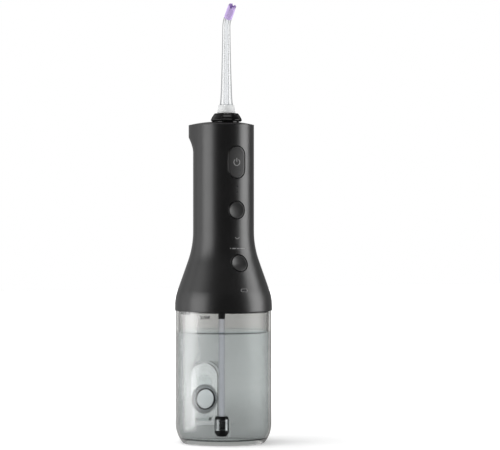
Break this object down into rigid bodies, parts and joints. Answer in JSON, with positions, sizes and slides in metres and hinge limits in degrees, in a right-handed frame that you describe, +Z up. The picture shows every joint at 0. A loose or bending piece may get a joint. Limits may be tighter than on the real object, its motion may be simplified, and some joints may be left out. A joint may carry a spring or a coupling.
{
  "type": "water flosser",
  "caption": "Cordless water flosser: black handle with piston pump and buttons on a clear water tank, with a spinning, removable bent nozzle and soft tip.",
  "frame": {"origin": "on the table, at the axis of the tank and the handle", "axes": "+Z up along the tank's axis; the buttons and the nozzle's tip face -Y, the finger lip and the fill cap are at +Y"},
  "size_m": [0.066, 0.066, 0.2985],
  "materials": {
    "tank_clear": "clear, lightly tinted grey, polished",
    "cap_clear": "clear, polished",
    "seal_rubber": "soft black silicone",
    "steel": "plain steel",
    "housing_black": "fine satin black",
    "cover_black": "satin black",
    "plate_black": "black",
    "silicone_clear": "translucent silicone",
    "weight_bright": "polished metal",
    "weight_black": "black rubber",
    "inner_grey": "moulded grey",
    "gear_white": "acetal, natural",
    "pinion_brass": "cut brass",
    "motor_steel": "zinc-plated can",
    "cell_wrap": "shrink sleeve",
    "contact_metal": "nickel",
    "board_green": "solder mask",
    "component_black": "moulded",
    "button_black": "satin black",
    "light_lens": "smoked lens",
    "cover_rubber": "soft black",
    "collar_black": "polished black",
    "nozzle_clear": "clear, polished",
    "skirt_frosted": "frosted",
    "tip_lavender": "soft silicone"
  },
  "bodies": {
    "tank": {"reservoir": "tank_clear", "fill_cap_pin": "steel"},
    "fill_cap": {"fill_cap": "cap_clear", "fill_cap_seal": "seal_rubber"},
    "handle": {"handle_housing": "housing_black", "top_cover": "cover_black", "base_plate": "plate_black", "base_seal": "seal_rubber", "base_screws": "steel", "chassis": "inner_grey", "chassis_screws": "steel", "hose_connector": "plate_black", "inlet_tube": "silicone_clear", "pump_body": "inner_grey", "inlet_valve": "seal_rubber", "outlet_valve": "seal_rubber", "outlet_fitting": "inner_grey", "pressure_hose": "silicone_clear", "gear_axle": "steel", "motor": "motor_steel", "battery_tray": "inner_grey", "battery": "cell_wrap", "battery_tabs": "contact_metal", "main_board": "board_green", "key_switches": "component_black", "board_parts": "component_black", "indicator_lights": "light_lens", "battery_light": "light_lens", "charge_socket": "contact_metal", "nozzle_socket": "inner_grey", "socket_o_ring": "seal_rubber"},
    "pickup": {"suction_hose": "silicone_clear", "pickup_rim": "weight_black", "pickup_sleeve": "weight_bright", "pickup_foot": "weight_black", "pickup_filter": "steel"},
    "gear": {"drive_gear": "gear_white"},
    "rotor": {"motor_shaft": "steel", "motor_pinion": "pinion_brass"},
    "piston": {"piston": "gear_white", "piston_seal": "seal_rubber"},
    "power_button": {"power_button": "button_black"},
    "pressure_button": {"pressure_button": "button_black"},
    "mode_button": {"mode_button": "button_black"},
    "charge_cover": {"charge_cover": "cover_rubber"},
    "collar": {"nozzle_collar": "collar_black"},
    "nozzle": {"nozzle_stem": "nozzle_clear", "nozzle_skirt": "skirt_frosted", "nozzle_tip": "tip_lavender"}
  },
  "joints": [
    {"name": "handle_lift", "type": "slide", "parent": "tank", "child": "handle", "axis": [0, 0, 1], "range_m": [0, 0.1]},
    {"name": "fill_cap_hinge", "type": "hinge", "parent": "tank", "child": "fill_cap", "pos_m": [0, 0.0304, 0.0136], "axis": [-1, 0, 0], "range_deg": [0, 100]},
    {"name": "pickup_swing", "type": "hinge", "parent": "handle", "child": "pickup", "pos_m": [0, 0.0029, 0.0819], "axis": [1, 0, 0], "range_deg": [-12, 12]},
    {"name": "nozzle_spin", "type": "hinge", "parent": "handle", "child": "collar", "pos_m": [0, -0.0043, 0.2179], "axis": [0, 0, 1], "continuous": true},
    {"name": "nozzle_pull", "type": "slide", "parent": "collar", "child": "nozzle", "axis": [0, 0, 1], "range_m": [0, 0.025]},
    {"name": "gear_spin", "type": "hinge", "parent": "handle", "child": "gear", "pos_m": [-0.009, -0.008, 0.1014], "axis": [0, 0, 1], "continuous": true},
    {"name": "rotor_spin", "type": "hinge", "parent": "handle", "child": "rotor", "pos_m": [0, 0.004, 0.1014], "axis": [0, 0, 1], "continuous": true},
    {"name": "piston_slide", "type": "slide", "parent": "handle", "child": "piston", "axis": [1, 0, 0], "range_m": [-0.001, 0.001]},
    {"name": "power_press", "type": "slide", "parent": "handle", "child": "power_button", "axis": [0, 1, 0], "range_m": [0, 0.0008], "stiffness_N_per_m": 300, "springref_m": -0.001},
    {"name": "pressure_press", "type": "slide", "parent": "handle", "child": "pressure_button", "axis": [0, 1, 0], "range_m": [0, 0.0008], "stiffness_N_per_m": 300, "springref_m": -0.001},
    {"name": "mode_press", "type": "slide", "parent": "handle", "child": "mode_button", "axis": [0, 0.9431, -0.3324], "range_m": [0, 0.0008], "stiffness_N_per_m": 300, "springref_m": -0.001},
    {"name": "charge_cover_hinge", "type": "hinge", "parent": "handle", "child": "charge_cover", "pos_m": [0, 0.02693, 0.11403], "axis": [-1, 0, 0], "range_deg": [0, 105]}
  ],
  "couplings": [
    {"joint": "rotor_spin", "follows": "gear_spin", "ratio": -4}
  ]
}
